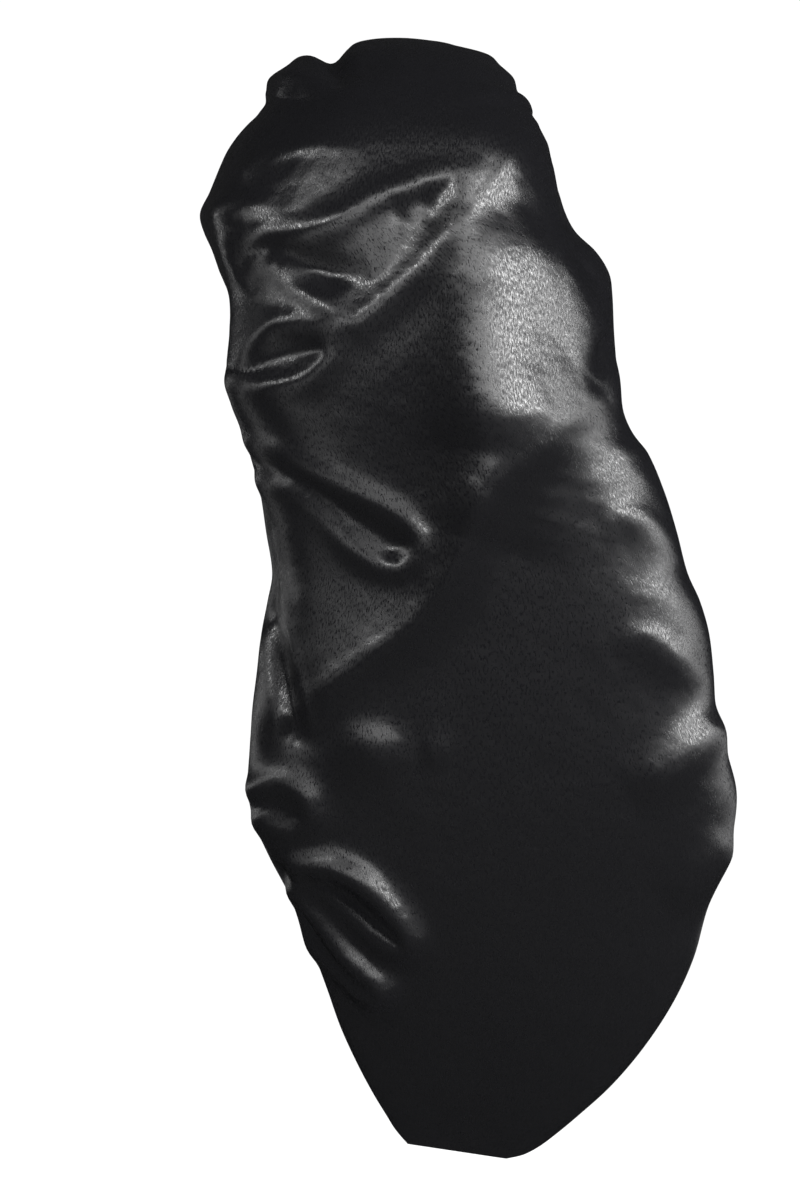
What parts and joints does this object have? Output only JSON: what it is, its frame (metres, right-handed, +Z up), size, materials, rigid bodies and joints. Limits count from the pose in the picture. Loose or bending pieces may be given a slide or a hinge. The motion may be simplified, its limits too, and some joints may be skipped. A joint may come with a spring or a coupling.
{
  "type": "sleep bonnet",
  "caption": "Long satin sleep bonnet for long hair, in its worn form: an elastic head opening and a deep bag that hangs down the back.",
  "frame": {"origin": "centre of the head opening, in the plane of the elastic band's upper edge", "axes": "+Z up when worn, -Y the way the wearer faces, +X the wearer's left; the bag hangs towards +Y and -Z"},
  "size_m": [0.3534, 0.3268, 0.7402],
  "materials": {
    "satin_back": "black satin, glossy face",
    "satin_front": "black satin, glossy face",
    "satin_band": "black satin gathered over elastic"
  },
  "bodies": {
    "root": {"back_panel": "satin_back", "front_panel": "satin_front", "head_band": "satin_band"}
  },
  "joints": []
}
